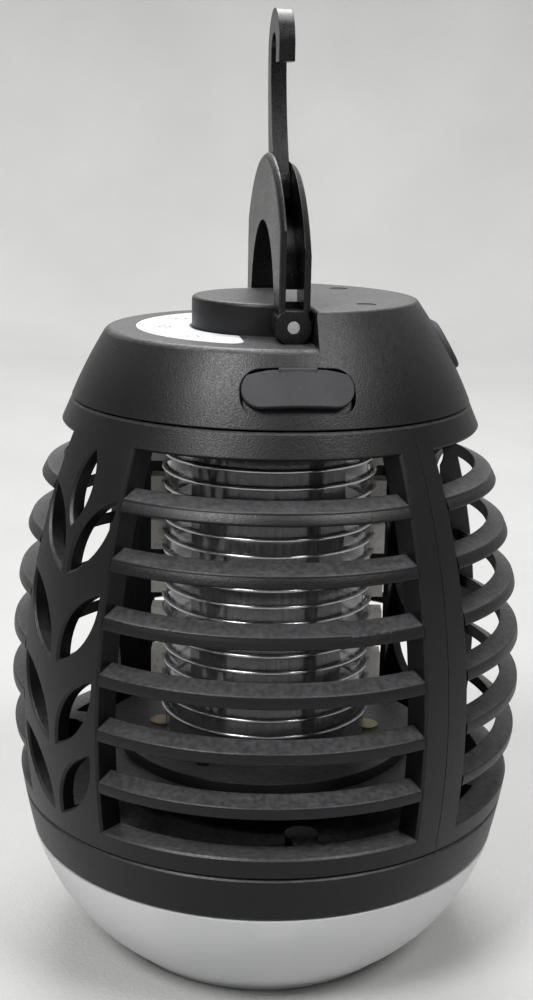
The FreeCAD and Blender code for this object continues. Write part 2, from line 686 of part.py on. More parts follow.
def leaf(root, tip, width):
    """A prism through the wall between two arcs that meet at the root and the tip."""
    ends = [Vector(p[0], -60, p[1]) for p in (root, tip)]
    along = ends[1] - ends[0]
    across = Vector(along.z, 0, -along.x).normalize() * (width / 2)
    centre = (ends[0] + ends[1]) / 2
    edges = [Part.Arc(ends[0], centre + across, ends[1]).toShape(),
             Part.Arc(ends[1], centre - across, ends[0]).toShape()]
    return Part.Face(Part.Wire(edges)).extrude(Vector(0, 40, 0))


def window_bars(half, window):
    """The six louvres of one window, between its leaf panel and its plain rib."""
    start, end = WINDOWS[window]
    return Part.makeCompound([bar(step, half + start, half + end) for step in range(1, BAR_COUNT + 1)])


def bar(step, start, end):
    """One louvre: it rises inwards and has a softened outer edge, flush with the egg."""
    top = WINDOW_LOW + step * BAR_PITCH
    bottom = top - BAR_THICK
    outer_top = egg_radius(top) - 0.06
    outer_bottom = egg_radius(bottom) - 0.06
    inner = egg_radius(top) - BAR_DEPTH
    soft = 0.45
    middle = (top + bottom) / 2
    outer = (outer_top + outer_bottom) / 2
    nose = arc((outer_bottom, bottom + soft), (outer + 0.05, middle), (outer_top, top - soft))
    shape = [nose, arc((outer_top, top - soft), (outer_top - 0.14, top - 0.13), (outer_top - soft, top))]
    shape += polyline([(outer_top - soft, top), (inner, top + BAR_RISE), (inner, bottom + BAR_RISE),
                       (outer_bottom - soft, bottom)])
    shape.append(arc((outer_bottom - soft, bottom), (outer_bottom - 0.14, bottom + 0.13),
                     (outer_bottom, bottom + soft)))
    return revolved(shape, start, end)


def cage_foot(azimuth):
    """A screw boss inside the sill that stands on the base tray."""
    at = polar(CAGE_SCREW_RADIUS, azimuth)
    boss = rod(2.7, DECK_HIGH + 0.05, WINDOW_LOW, at.x, at.y)
    web = turned(block((-2.0, 2.0), (-40.2, -36.0), (CAGE_BOTTOM, WINDOW_LOW)), azimuth)
    return boss.fuse(web)


def cage_screws():
    """Four screws from under the deck into the cage's feet."""
    shapes = []
    for half in (CAGE_TWIST - 90, CAGE_TWIST + 90):
        for azimuth in CAGE_SCREW_AZIMUTHS:
            at = polar(CAGE_SCREW_RADIUS, half + azimuth)
            shapes.append(screw(at.x, at.y, DECK_LOW, 1.7, 0.85, 5.4, up=-1))
    return Part.makeCompound(shapes)


def base_tray():
    """Black ring under the cage with the deck that catches the insects and its central hub."""
    edge = 0.35
    side = curve(egg_radius, BASE_RING_BOTTOM + edge, BASE_RING_TOP - edge)
    top = egg_radius(BASE_RING_TOP - edge)
    bottom = egg_radius(BASE_RING_BOTTOM + edge)
    section = [side] + polyline([
        (top, BASE_RING_TOP - edge), (top - edge, BASE_RING_TOP), (RING_INNER, BASE_RING_TOP),
        (RING_INNER, DECK_HIGH), (HUB_RADIUS, DECK_HIGH), (HUB_RADIUS, HUB_HIGH), (0, HUB_HIGH),
        (0, DECK_LOW), (RING_INNER, DECK_LOW), (RING_INNER, BASE_RING_BOTTOM),
        (bottom - edge, BASE_RING_BOTTOM), (bottom, BASE_RING_BOTTOM + edge)])
    bosses = []
    for azimuth in BOARD_SCREW_AZIMUTHS:
        at = polar(BOARD_SCREW_RADIUS, azimuth)
        bosses.append(rod(2.6, LANTERN_BOARD_HIGH, DECK_LOW + 0.5, at.x, at.y).cut(
            rod(0.8, LANTERN_BOARD_HIGH - 1, DECK_LOW, at.x, at.y)))
    solid = fused([revolved(section)] + bosses)
    points = [polar(BOARD_SCREW_RADIUS, azimuth) for azimuth in BOARD_SCREW_AZIMUTHS]
    tools = [rod(0.8, LANTERN_BOARD_HIGH - 1, DECK_LOW + 0.5, at.x, at.y) for at in points]
    for half in (CAGE_TWIST - 90, CAGE_TWIST + 90):
        for azimuth in CAGE_SCREW_AZIMUTHS:
            at = polar(CAGE_SCREW_RADIUS, half + azimuth)
            tools.append(rod(1.1, DECK_LOW - 1, DECK_HIGH + 1, at.x, at.y))
    tools += [rod(0.6, DECK_LOW - 1, HUB_HIGH + 1, x, 0) for x in CONTACT_RADII]
    return solid.cut(Part.makeCompound(tools))


def contact_rings():
    """Two brass slip rings on the hub, each with a tail down to the lantern board."""
    shapes = []
    for radius in CONTACT_RADII:
        ring = washer(radius + 1.2, radius - 1.2, HUB_HIGH, HUB_HIGH + 0.7)
        shapes.append(ring.fuse(rod(0.55, LANTERN_BOARD_HIGH, HUB_HIGH + 0.2, radius, 0)))
    return Part.makeCompound(shapes)


def lantern_board():
    board = rod(31.0, LANTERN_BOARD_LOW, LANTERN_BOARD_HIGH)
    points = [polar(BOARD_SCREW_RADIUS, azimuth) for azimuth in BOARD_SCREW_AZIMUTHS]
    holes = [rod(1.0, LANTERN_BOARD_LOW - 1, LANTERN_BOARD_HIGH + 1, at.x, at.y) for at in points]
    return board.cut(Part.makeCompound(holes))


def lantern_leds():
    """White chips under the board, in two rings."""
    shapes = []
    for radius, count in ((8.0, 4), (18.0, 8)):
        for step in range(count):
            at = polar(radius, (step + 0.5) * 360.0 / count)
            shapes.append(block_at(at, 2.8, LANTERN_BOARD_LOW - 0.8, LANTERN_BOARD_LOW))
    return Part.makeCompound(shapes)


def lantern_screws():
    points = [polar(BOARD_SCREW_RADIUS, azimuth) for azimuth in BOARD_SCREW_AZIMUTHS]
    return Part.makeCompound([screw(at.x, at.y, LANTERN_BOARD_LOW, 1.5, 0.75, 3.6, up=-1) for at in points])


def base_seal():
    """Rubber gasket between the diffuser's collar and the deck."""
    return washer(40.2, 38.4, 25.9, DECK_LOW)


def diffuser():
    """Milky dome with a flat to stand on and a collar that snaps into the base ring."""
    wall = 1.8
    low = 1.0
    outside = curve(dome_radius, low, DIFFUSER_TOP)
    inner_low = wall
    inside = curve(dome_radius, inner_low, DIFFUSER_TOP, -wall)
    foot = arc((dome_radius(low) - 1.1, 0), (dome_radius(low) - 0.35, 0.3), (dome_radius(low), low))
    section = [outside, foot, line((0, 0), (dome_radius(low) - 1.1, 0)), line((0, 0), (0, wall)),
               line((0, wall), (dome_radius(inner_low, -wall), inner_low)), inside]
    section += polyline([(dome_radius(DIFFUSER_TOP, -wall), DIFFUSER_TOP), (38.5, DIFFUSER_TOP + 0.6),
                         (38.5, 25.85), (40.2, 25.85), (40.2, DIFFUSER_TOP),
                         (dome_radius(DIFFUSER_TOP), DIFFUSER_TOP)])
    return revolved(Part.__sortEdges__(section))


# ---- moving pieces on the head --------------------------------------------------------------
def bail():
    """Folding arch. It is shaped lying on the ledge, as a slice of the head, then stood up."""
    low = HINGE_Z - BAIL_BACK
    high = HINGE_Z + BAIL_FRONT
    slice_ = Part.makeCone(BAIL_OUTER_BACK, BAIL_OUTER_FRONT, high - low, Vector(0, 0, low))
    slice_ = slice_.common(block((-40, HINGE_X), (-BAIL_HALF_WIDTH, BAIL_HALF_WIDTH), (low, high)))
    slice_ = slice_.cut(rod(BAIL_INNER, low - 1, high + 1))

    def is_arch_rim(edge):
        return edge.BoundBox.ZLength < 0.01 and middle_of(edge).x < -2.0

    def is_back_rim(edge):
        middle = middle_of(edge)
        return is_arch_rim(edge) and middle.z < low + 0.1 and math.hypot(middle.x, middle.y) > BAIL_INNER + 5

    def is_front_rim(edge):
        return is_arch_rim(edge) and middle_of(edge).z > high - 0.1

    slice_ = rounded(slice_, BAIL_BACK_ROUND, is_back_rim)
    slice_ = rounded(slice_, BAIL_RIM_ROUND, is_front_rim)
    barrels = []
    for side in (-1, 1):
        start = Vector(HINGE_X, side * BAIL_INNER, HINGE_Z)
        barrel = Part.makeCylinder(BARREL_RADIUS, BAIL_HALF_WIDTH - BAIL_INNER, start, Vector(0, side, 0))
        barrels.append(barrel)
    arch = fused([slice_] + barrels)
    arch.rotate(Vector(HINGE_X, 0, HINGE_Z), Vector(0, 1, 0), 90)
    bores = [Part.makeCylinder(PIN_RADIUS + RUNNING_GAP, 60, Vector(HINGE_X, -30, HINGE_Z), Vector(0, 1, 0))]
    return arch.cut(Part.makeCompound(bores + [hook_slot(), hook_pin_bore(0.0), tip_window()]))


def arch_centre_z():
    """Height of the arch's centre when it stands up."""
    return HINGE_Z + HINGE_X


def hook_slot():
    """Channel in the arch's outer edge that swallows the hook."""
    half = HOOK_SLOT_WIDE / 2
    channel = block((HOOK_X - half, HOOK_X + half), (-40, 6.5), (116.9, 160))
    core = Part.makeCylinder(HOOK_SLOT_FLOOR, 20, Vector(-10, 0, arch_centre_z()), Vector(1, 0, 0))
    return channel.cut(core)


def tip_window():
    """Opening through the channel's floor that takes the hook's tip."""
    half = HOOK_SLOT_WIDE / 2
    return block((HOOK_X - half, HOOK_X + half), (-19, -12), TIP_WINDOW_Z)


def hook_pin_bore(gap):
    y, z = HOOK_PIVOT
    return Part.makeCylinder(PIN_RADIUS + gap, 4.2, Vector(HOOK_X - 2.0, y, z), Vector(1, 0, 0))


def hook_pin():
    """Steel pin across the channel, set blind in its two cheeks."""
    return hook_pin_bore(0.0)


def hook():
    """Flat hook: a hub on the pin, an S-curved shank and a half-round curl."""
    y_hub, z_hub = HOOK_PIVOT
    y_curl, z_curl = CURL_CENTRE
    left = HOOK_X - HOOK_THICK / 2
    far = y_curl + CURL_OUTER
    near = y_curl + CURL_INNER
    tip_low = z_curl - HOOK_TIP_DROP

    def point(y, z):
        return Vector(left, y, z)

    def on_hub(degrees):
        angle = math.radians(degrees)
        return point(y_hub + HOOK_HUB * math.cos(angle), z_hub + HOOK_HUB * math.sin(angle))

    def bend(top, degrees):
        """From the curl's foot down to the hub, which it meets along its rim."""
        angle = math.radians(degrees)
        rim = on_hub(degrees)
        along = Vector(0, -math.sin(angle), math.cos(angle)) * HOOK_BEND_LOW
        low_handle = rim - along if degrees > 90 else rim + along
        bezier = Part.BezierCurve()
        bezier.setPoles([top, top - Vector(0, 0, HOOK_BEND_HIGH), low_handle, rim])
        return bezier.toShape()

    def curl(radius, start, end):
        return Part.Arc(start, point(y_curl, z_curl + radius), end).toShape()

    tip_out = point(y_curl - CURL_OUTER, z_curl)
    tip_in = point(y_curl - CURL_INNER, z_curl)
    tip_corners = [tip_in, point(tip_in.y, tip_low), point(tip_out.y, tip_low), tip_out]
    edges = [
        Part.Arc(on_hub(0), on_hub(-110), on_hub(-220)).toShape(),
        bend(point(near, z_curl), 140),
        curl(CURL_INNER, point(near, z_curl), tip_in),
        curl(CURL_OUTER, tip_out, point(far, z_curl)),
        bend(point(far, z_curl), 0),
    ]
    edges += [Part.makeLine(a, b) for a, b in zip(tip_corners, tip_corners[1:])]
    outline = Part.Wire(Part.__sortEdges__(edges))
    plate = Part.Face(outline).extrude(Vector(HOOK_THICK, 0, 0))
    return plate.cut(hook_pin_bore(RUNNING_GAP))


def port_cover():
    """Rubber flap over the socket. Its top edge is bevelled, so that it can swing up and out."""
    prism = on_shoulder(stadium(PORT_LONG, PORT_TALL, -5, 3), 0, PORT_Z)
    skin = shoulder_solid(PORT_PROUD, HEAD_BOTTOM - 3, PLATEAU_Z + 1)
    core = shoulder_solid(PORT_PROUD - PORT_THICK, HEAD_BOTTOM - 4, PLATEAU_Z + 2)
    plate = prism.common(skin).cut(core)
    nub = stadium(8.2, 2.2, PORT_PROUD - PORT_THICK - 1.1, PORT_PROUD - PORT_THICK + 0.4, -0.2)
    plate = plate.fuse(on_shoulder(nub, 0, PORT_Z - 0.4))
    lift = PORT_TALL / 2 - PORT_BEAD_DROP
    out = PORT_PROUD - PORT_BEAD_RADIUS + 0.05
    bevel = Part.makeBox(40, 10, 10, Vector(-20, 0, -10))
    bevel.rotate(Vector(0, 0, 0), Vector(1, 0, 0), -45)
    bevel.translate(Vector(0, lift, out))
    above = block((-20, 20), (lift, lift + 5), (-5, 5))
    start = Vector(-PORT_BEAD_HALF, lift, out)
    bead = Part.makeCylinder(PORT_BEAD_RADIUS, 2 * PORT_BEAD_HALF, start, Vector(1, 0, 0))
    plate = plate.cut(on_shoulder(bevel.fuse(above), 0, PORT_Z))
    return plate.fuse(on_shoulder(bead, 0, PORT_Z))


def power_button():
    """Soft oval button with a flange behind the shell."""
    prism = on_shoulder(stadium(BUTTON_LONG, BUTTON_TALL, -3.6, 4), 90, BUTTON_Z)
    body = prism.common(shoulder_solid(BUTTON_PROUD, HEAD_BOTTOM - 3, PLATEAU_Z + 1))

    def is_crown(edge):
        middle = middle_of(edge)
        radius = math.hypot(middle.x, middle.y)
        return abs(radius - shoulder_radius(middle.z, BUTTON_PROUD)) < 0.03

    body = rounded(body, 0.5, is_crown)
    flange = on_shoulder(stadium(BUTTON_LONG + 2.0, BUTTON_TALL + 1.6, -4.5, -3.55), 90, BUTTON_Z)
    return body.fuse(flange)


# ---- every node -----------------------------------------------------------------------------
def build():
    half = cage_half()
    return {
        "top_housing": top_housing(),
        "head_base": head_base(),
        "label_sticker": label_sticker(),
        "screw_plugs": screw_plugs(),
        "housing_screws": housing_screws(),
        "hinge_pins": Part.makeCompound([hinge_pin(side) for side in (-1, 1)]),
        "control_board": control_board(),
        "control_chips": control_chips(),
        "usb_socket": usb_socket(),
        "hv_transformer": hv_transformer(),
        "hv_capacitors": hv_capacitors(),
        "switch_board": switch_board(),
        "tact_switch": tact_switch(),
        "battery": battery(),
        "uv_led_board": uv_led_board(),
        "uv_leds": uv_leds(),
        "light_tube": light_tube(),
        "grid_top_ring": grid_top_ring(),
        "grid_screws": grid_screws(),
        "grid_wires_live": grid_wires(0, POST_AZIMUTHS[0]),
        "grid_wires_return": grid_wires(1, POST_AZIMUTHS[1]),
        "grid_posts": grid_posts(),
        "grid_sleeve": grid_sleeve(),
        "grid_terminals": grid_terminals(),
        "grid_base": grid_base(),
        "lantern_leads": lantern_leads(),
        "contact_pins": contact_pins(),
        "cage_front": turned(half, CAGE_TWIST - 90),
        "cage_rear": turned(half, CAGE_TWIST + 90),
        "front_bars": window_bars(CAGE_TWIST - 90, 0),
        "left_bars": window_bars(CAGE_TWIST - 90, 1),
        "rear_bars": window_bars(CAGE_TWIST + 90, 0),
        "right_bars": window_bars(CAGE_TWIST + 90, 1),
        "cage_screws": cage_screws(),
        "base_tray": base_tray(),
        "contact_rings": contact_rings(),
        "lantern_board": lantern_board(),
        "lantern_leds": lantern_leds(),
        "lantern_screws": lantern_screws(),
        "base_seal": base_seal(),
        "diffuser": diffuser(),
        "bail": bail(),
        "hook_pin": hook_pin(),
        "hook": hook(),
        "port_cover": port_cover(),
        "power_button": power_button(),
    }


os.makedirs("parts", exist_ok=True)
for node, shape in build().items():
    shape.exportStep("parts/" + node + ".step")
    print(node, "valid" if shape.isValid() else "INVALID", "solids", len(shape.Solids),
          "volume mm3", round(shape.Volume, 1))
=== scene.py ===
"""Looks of a hanging bug zapper lantern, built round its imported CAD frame.

Everything is in metres and in the frame of the CAD model. Surface patterns work in millimetres.
"""

import math

import bmesh
import bpy
from mathutils import Matrix, Vector


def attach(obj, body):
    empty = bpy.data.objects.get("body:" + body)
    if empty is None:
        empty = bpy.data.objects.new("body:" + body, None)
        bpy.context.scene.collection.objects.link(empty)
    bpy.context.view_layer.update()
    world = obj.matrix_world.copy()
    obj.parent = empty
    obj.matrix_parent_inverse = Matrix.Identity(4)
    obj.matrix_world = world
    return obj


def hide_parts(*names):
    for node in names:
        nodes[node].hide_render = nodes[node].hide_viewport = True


MM = 0.001

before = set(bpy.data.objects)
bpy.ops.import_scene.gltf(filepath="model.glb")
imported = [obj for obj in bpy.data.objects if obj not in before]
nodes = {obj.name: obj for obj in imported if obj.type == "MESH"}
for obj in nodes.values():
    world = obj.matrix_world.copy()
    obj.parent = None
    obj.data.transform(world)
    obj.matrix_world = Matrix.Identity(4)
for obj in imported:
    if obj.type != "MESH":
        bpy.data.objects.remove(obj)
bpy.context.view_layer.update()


# ---- camera, light and stage ----------------------------------------------------------------
CAMERA_AZIMUTH = math.radians(-7.8)
CAMERA_DISTANCE = 252.1 * MM
CAMERA_HEIGHT = 143.0 * MM
CAMERA_PITCH = math.radians(13.824)
CAMERA_ROLL = math.radians(1.165)
CAMERA_LENS = 52.52
CAMERA_SHIFT = -0.0021

FLOOR_RADIUS = 0.75
WALL_CURVE = 0.30
WALL_HEIGHT = 1.10
STAGE_STEPS = 96             # round the stage
CURVE_STEPS = 12             # up the curve of its wall


def make_camera():
    """A camera a little above the lantern, looking slightly down on it from near the front."""
    right = Vector((math.cos(CAMERA_AZIMUTH), math.sin(CAMERA_AZIMUTH), 0))
    ahead = Vector((-math.sin(CAMERA_AZIMUTH), math.cos(CAMERA_AZIMUTH), 0))
    up = Vector((0, 0, 1))
    look = ahead * math.cos(CAMERA_PITCH) - up * math.sin(CAMERA_PITCH)
    top = ahead * math.sin(CAMERA_PITCH) + up * math.cos(CAMERA_PITCH)
    side = right * math.cos(CAMERA_ROLL) + top * math.sin(CAMERA_ROLL)
    top = side.cross(look)
    camera = bpy.data.objects.new("camera", bpy.data.cameras.new("camera"))
    bpy.context.scene.collection.objects.link(camera)
    camera.data.lens = CAMERA_LENS
    camera.data.shift_x = CAMERA_SHIFT
    camera.data.clip_start = 0.01
    place = Matrix((side, top, -look)).transposed().to_4x4()
    place.translation = up * CAMERA_HEIGHT - ahead * CAMERA_DISTANCE
    camera.matrix_world = place
    bpy.context.scene.camera = camera


def make_light(name, direction, distance, size, power, aim=(0, 0, 0.08)):
    """A soft square light, that far from the point that it is aimed at."""
    light = bpy.data.objects.new(name, bpy.data.lights.new(name, "AREA"))
    bpy.context.scene.collection.objects.link(light)
    light.data.size = size
    light.data.energy = power
    toward = Vector(direction).normalized()
    light.location = Vector(aim) + toward * distance
    light.rotation_mode = "QUATERNION"
    light.rotation_quaternion = toward.to_track_quat("Z", "Y")


def make_lights():
    """One key from the upper left, one from the upper right, one on the backdrop and one overhead."""
    make_light("key", (-0.48, -0.52, 0.72), 0.85, 0.26, 5.0)
    make_light("front", (0.42, -0.52, 0.76), 0.90, 0.26, 3.4)
    make_light("backdrop_light", (0.0, 0.35, 0.95), 0.90, 0.60, 5.8, aim=(0, 0.45, 0.1))
    make_light("top", (0.05, 0.25, 1.0), 0.80, 0.55, 3.6)
    world = bpy.data.worlds.new("studio")
    bpy.context.scene.world = world
    world.use_nodes = True
    world.node_tree.nodes["Background"].inputs["Color"].default_value = (0.80, 0.81, 0.83, 1)
    world.node_tree.nodes["Background"].inputs["Strength"].default_value = 0.07


def make_stage(material):
    """A pale floor that curves up into walls all round, as one revolved sheet."""
    rings = [(0.0, 0.0), (0.10, 0.0), (0.30, 0.0), (FLOOR_RADIUS, 0.0)]
    for step in range(1, CURVE_STEPS + 1):
        turn = math.radians(90 * step / CURVE_STEPS)
        rings.append((FLOOR_RADIUS + WALL_CURVE * math.sin(turn), WALL_CURVE * (1 - math.cos(turn))))
    rings.append((FLOOR_RADIUS + WALL_CURVE, WALL_HEIGHT))
    mesh = revolved_mesh(rings, STAGE_STEPS)
    floor = add_object("studio_floor", mesh, material)


# ---- mesh helpers ---------------------------------------------------------------------------
def add_object(name, mesh, material):
    """A new object with that mesh, smooth shaded, in the scene."""
    made = bpy.data.objects.new(name, mesh)
    bpy.context.scene.collection.objects.link(made)
    mesh.materials.clear()
    mesh.materials.append(material)
    mesh.shade_smooth()
    return made


def revolved_mesh(profile, steps):
    """The surface that a line of (radius, height) points sweeps round the Z axis."""
    made = bmesh.new()
    rings = []
    for radius, height in profile:
        if radius == 0:
            rings.append([made.verts.new((0, 0, height))] * steps)
            continue
        turns = [2 * math.pi * step / steps for step in range(steps)]
        rings.append([made.verts.new((radius * math.cos(t), radius * math.sin(t), height)) for t in turns])
    for inner, outer in zip(rings, rings[1:]):
        for step in range(steps):
            after = (step + 1) % steps
            corners = [inner[step], outer[step], outer[after], inner[after]]
            made.faces.new(list(dict.fromkeys(corners)))
    bmesh.ops.recalc_face_normals(made, faces=made.faces)
    mesh = bpy.data.meshes.new("revolved")
    made.to_mesh(mesh)
    made.free()
    return mesh


# ---- materials ------------------------------------------------------------------------------
class Finish:
    """A Principled material whose pattern nodes are added by short calls, in millimetres."""

    def __init__(self, name, **surface):
        self.material = bpy.data.materials.new(name)
        self.material.use_nodes = True
        self.tree = self.material.node_tree
        self.surface = self.tree.nodes["Principled BSDF"]
        place = self.add("TexCoord").outputs["Object"]
        self.place = self.add("VectorMath", {0: place, "Scale": 1 / MM}, operation="SCALE").outputs[0]
        self.set(**surface)

    def add(self, kind, inputs=None, **settings):
        made = self.tree.nodes.new("ShaderNode" + kind)
        for key, value in settings.items():
            setattr(made, key, value)
        for key, value in (inputs or {}).items():
            self.feed(made.inputs[key], value)
        return made

    def feed(self, socket, value):
        if isinstance(value, bpy.types.NodeSocket):
            self.tree.links.new(value, socket)
        elif isinstance(value, tuple) and socket.type == "RGBA":
            socket.default_value = (*value, 1)
        else:
            socket.default_value = value

    def set(self, **surface):
        """Sets or wires the surface's own inputs: base_color, roughness and so on."""
        for key, value in surface.items():
            words = {"ior": "IOR"}
            name = " ".join(words.get(word, word.capitalize()) for word in key.split("_"))
            self.feed(self.surface.inputs[name], value)

    def noise(self, scale, detail=2.0, place=None):
        inputs = {"Vector": place or self.place, "Scale": scale, "Detail": detail}
        return self.add("TexNoise", inputs).outputs["Fac"]

    def cells(self, scale, output="Distance"):
        return self.add("TexVoronoi", {"Vector": self.place, "Scale": scale}).outputs[output]

    def spread(self, value, low, high, to_low=0.0, to_high=1.0):
        inputs = {"Value": value, "From Min": low, "From Max": high, "To Min": to_low, "To Max": to_high}
        return self.add("MapRange", inputs).outputs[0]

    def math(self, operation, *values):
        return self.add("Math", dict(enumerate(values)), operation=operation).outputs[0]

    def mix(self, share, first, second):
        made = self.add("Mix", data_type="RGBA")
        self.feed(made.inputs[0], share)
        self.feed(made.inputs[6], first)
        self.feed(made.inputs[7], second)
        return made.outputs[2]

    def edge_normal(self, radius):
        """The surface direction with every edge softened by that radius in millimetres."""
        return self.add("Bevel", {"Radius": radius * MM}, samples=4).outputs["Normal"]

    def edges(self, softened):
        """1 on sharp edges and 0 on open faces."""
        face = self.add("NewGeometry").outputs["Normal"]
        together = self.add("VectorMath", {0: softened, 1: face}, operation="DOT_PRODUCT").outputs["Value"]
        return self.spread(together, 0.98, 0.85)

    def upward(self):
        """1 on faces that look up and 0 on upright ones."""
        face = self.add("NewGeometry").outputs["Normal"]
        return self.spread(self.add("SeparateXYZ", {0: face}).outputs["Z"], 0.42, 0.98)

    def bump(self, height, depth, under=None):
        """A relief of that depth in millimetres where height goes from 0 to 1."""
        inputs = {"Height": height, "Distance": depth * MM}
        if under:
            inputs["Normal"] = under
        return self.add("Bump", inputs).outputs["Normal"]


def moulded_plastic(name, tone, rough, grain, speck=0.35):
    """Moulded plastic with a pored grain, cloudy gloss, worn edges, dust specks mostly on top faces, and a
    painted sheen that lightens top faces as if lit from above.
    """
    made = Finish(name, specular_ior_level=0.46)
    softened = made.edge_normal(0.22)
    worn = made.math("MULTIPLY", made.edges(softened), made.spread(made.noise(0.5, 3), 0.35, 0.75))
    cloud = made.spread(made.noise(0.06, 3), 0.3, 0.7)
    pores = made.noise(3.4, 3)
    body = made.mix(cloud, tuple(0.85 * t for t in tone), tuple(1.2 * t for t in tone))
    pale = made.math("MULTIPLY", made.spread(pores, 0.55, 0.75), 0.45)
    body = made.mix(pale, body, tuple(2.6 * t for t in tone))
    body = made.mix(made.math("MULTIPLY", worn, 0.25), body, tuple(3.0 * t + 0.004 for t in tone))
    patch = made.spread(made.noise(0.35, 2), 0.50, 0.72)
    dust = made.math("MULTIPLY", made.spread(made.cells(1.8), 0.09, 0.04), patch)
    dust = made.math("MULTIPLY", dust, made.math("ADD", made.math("MULTIPLY", made.upward(), 0.8), 0.15))
    body = made.mix(made.math("MULTIPLY", dust, speck), body, (0.52, 0.51, 0.49))
    # Paler grey on upward faces: painted sheen, top faces painted lighter as if lit from above.
    painted_top_sheen = made.math("MULTIPLY", made.upward(), made.spread(made.noise(1.1, 4), 0.35, 0.75, 0.14, 0.30))
    body = made.mix(painted_top_sheen, body, (0.30, 0.30, 0.31))
    gloss = made.math("ADD", made.spread(cloud, 0, 1, rough - 0.03, rough + 0.04),
                      made.spread(pores, 0.3, 0.7, -0.06, 0.08))
    made.set(base_color=body, roughness=gloss, normal=made.bump(pores, grain, softened))
    return made.material


def milky_plastic():
    """Milk white translucent plastic, faintly cloudy, with fine polish marks."""
    made = Finish("milky_plastic", subsurface_weight=0.35, subsurface_scale=2.5 * MM, ior=1.49)
    made.set(subsurface_radius=(1.0, 0.95, 0.9))
    cloud = made.spread(made.noise(0.05, 3), 0.3, 0.7)
    body = made.mix(cloud, (0.50, 0.505, 0.515), (0.56, 0.56, 0.565))
    polish = made.noise(2.2, 4)
    made.set(base_color=body, roughness=made.spread(polish, 0.3, 0.7, 0.34, 0.46))
    made.set(normal=made.bump(polish, 0.006, made.edge_normal(0.25)))
    return made.material


def rubber(name, tone, rough):
    """Matt rubber with a fine even tooth and lint specks."""
    made = Finish(name, specular_ior_level=0.35)
    softened = made.edge_normal(0.35)
    tooth = made.noise(4.5, 3)
    cloud = made.spread(made.noise(0.2, 3), 0.3, 0.7)
    body = made.mix(cloud, tuple(0.88 * t for t in tone), tuple(1.12 * t for t in tone))
    lint = made.math("MULTIPLY", made.spread(made.cells(0.9), 0.07, 0.03), 0.4)
    body = made.mix(lint, body, (0.45, 0.45, 0.44))
    made.set(base_color=body, roughness=made.spread(tooth, 0.3, 0.7, rough - 0.06, rough + 0.06))
    made.set(normal=made.bump(tooth, 0.02, softened))
    return made.material


def metal(name, tone, rough, streak=(0.6, 0.6, 6.0)):
    """Drawn or turned metal with fine streaks along one direction."""
    made = Finish(name, metallic=1.0)
    along = made.add("VectorMath", {0: made.place, 1: streak}, operation="MULTIPLY").outputs[0]
    lines = made.noise(1.0, 4, along)
    body = made.mix(made.spread(lines, 0.3, 0.7), tuple(0.82 * t for t in tone), tone)
    made.set(base_color=body, roughness=made.spread(lines, 0.3, 0.7, rough * 0.75, rough * 1.25))
    made.set(normal=made.bump(lines, 0.01, made.edge_normal(0.1)))
    return made.material


def paper_label():
    """Bluish white printed film with a slight orange peel."""
    made = Finish("paper_label", specular_ior_level=0.45)
    peel = made.noise(1.2, 2)
    body = made.mix(made.spread(made.noise(0.15, 3), 0.3, 0.7), (0.68, 0.69, 0.74), (0.76, 0.77, 0.81))
    made.set(base_color=body, roughness=0.38, normal=made.bump(peel, 0.01))
    return made.material


def clear_plastic(name, tone, through, rough):
    """Clear moulded plastic, a little hazy, with flow lines."""
    made = Finish(name, ior=1.49, transmission_weight=through)
    haze = made.noise(0.5, 3)
    body = made.mix(made.spread(haze, 0.3, 0.7), tuple(0.9 * t for t in tone), tone)
    made.set(base_color=body, roughness=made.spread(haze, 0.3, 0.7, rough * 0.7, rough * 1.3))
    made.set(normal=made.bump(made.noise(0.8, 3), 0.01, made.edge_normal(0.15)))
    return made.material


def silvery_tube():
    """Frosted silvery pipe with upright draw lines and broad upright bands of painted sheen in its colour.
    """
    made = Finish("silvery_tube", metallic=0.55, specular_ior_level=0.5)
    upright = made.add("VectorMath", {0: made.place, 1: (1.0, 1.0, 0.02)}, operation="MULTIPLY").outputs[0]
    lines = made.noise(1.6, 4, upright)
    painted_sheen_bands = made.spread(made.noise(0.16, 1, upright), 0.35, 0.65)
    # Lighter upright bands painted into the colour: painted sheen, standing in for reflections of the lamps
    # on the pipe.
    body = made.mix(painted_sheen_bands, (0.26, 0.257, 0.248), (0.50, 0.49, 0.47))
    body = made.mix(made.spread(lines, 0.42, 0.72, 0.0, 0.7), body, (0.11, 0.107, 0.10))
    made.set(base_color=body, roughness=made.spread(lines, 0.3, 0.7, 0.30, 0.46))
    made.set(normal=made.bump(lines, 0.02, made.edge_normal(0.1)))
    return made.material


def circuit_board():
    """Green solder mask with faint copper runs under it."""
    made = Finish("circuit_board", roughness=0.35)
    runs = made.spread(made.add("TexBrick", {"Vector": made.place, "Scale": 0.45}).outputs["Fac"], 0.4, 0.6)
    fibre = made.noise(2.5, 3)
    body = made.mix(runs, (0.010, 0.085, 0.032), (0.02, 0.14, 0.05))
    made.set(base_color=made.mix(made.math("MULTIPLY", fibre, 0.3), body, (0.01, 0.05, 0.03)))
    made.set(normal=made.bump(fibre, 0.01))
    return made.material


def stage_cloth():
    """Pale cloth of the studio floor, with a fine weave and long soft folds."""
    made = Finish("studio_cloth", roughness=0.9, specular_ior_level=0.1)
    folds = made.noise(0.008, 3)
    body = made.mix(made.spread(folds, 0.3, 0.7), (0.46, 0.46, 0.455), (0.50, 0.50, 0.495))
    made.set(base_color=body, normal=made.bump(made.math("ADD", folds, made.noise(1.2, 2)), 0.15))
    return made.material


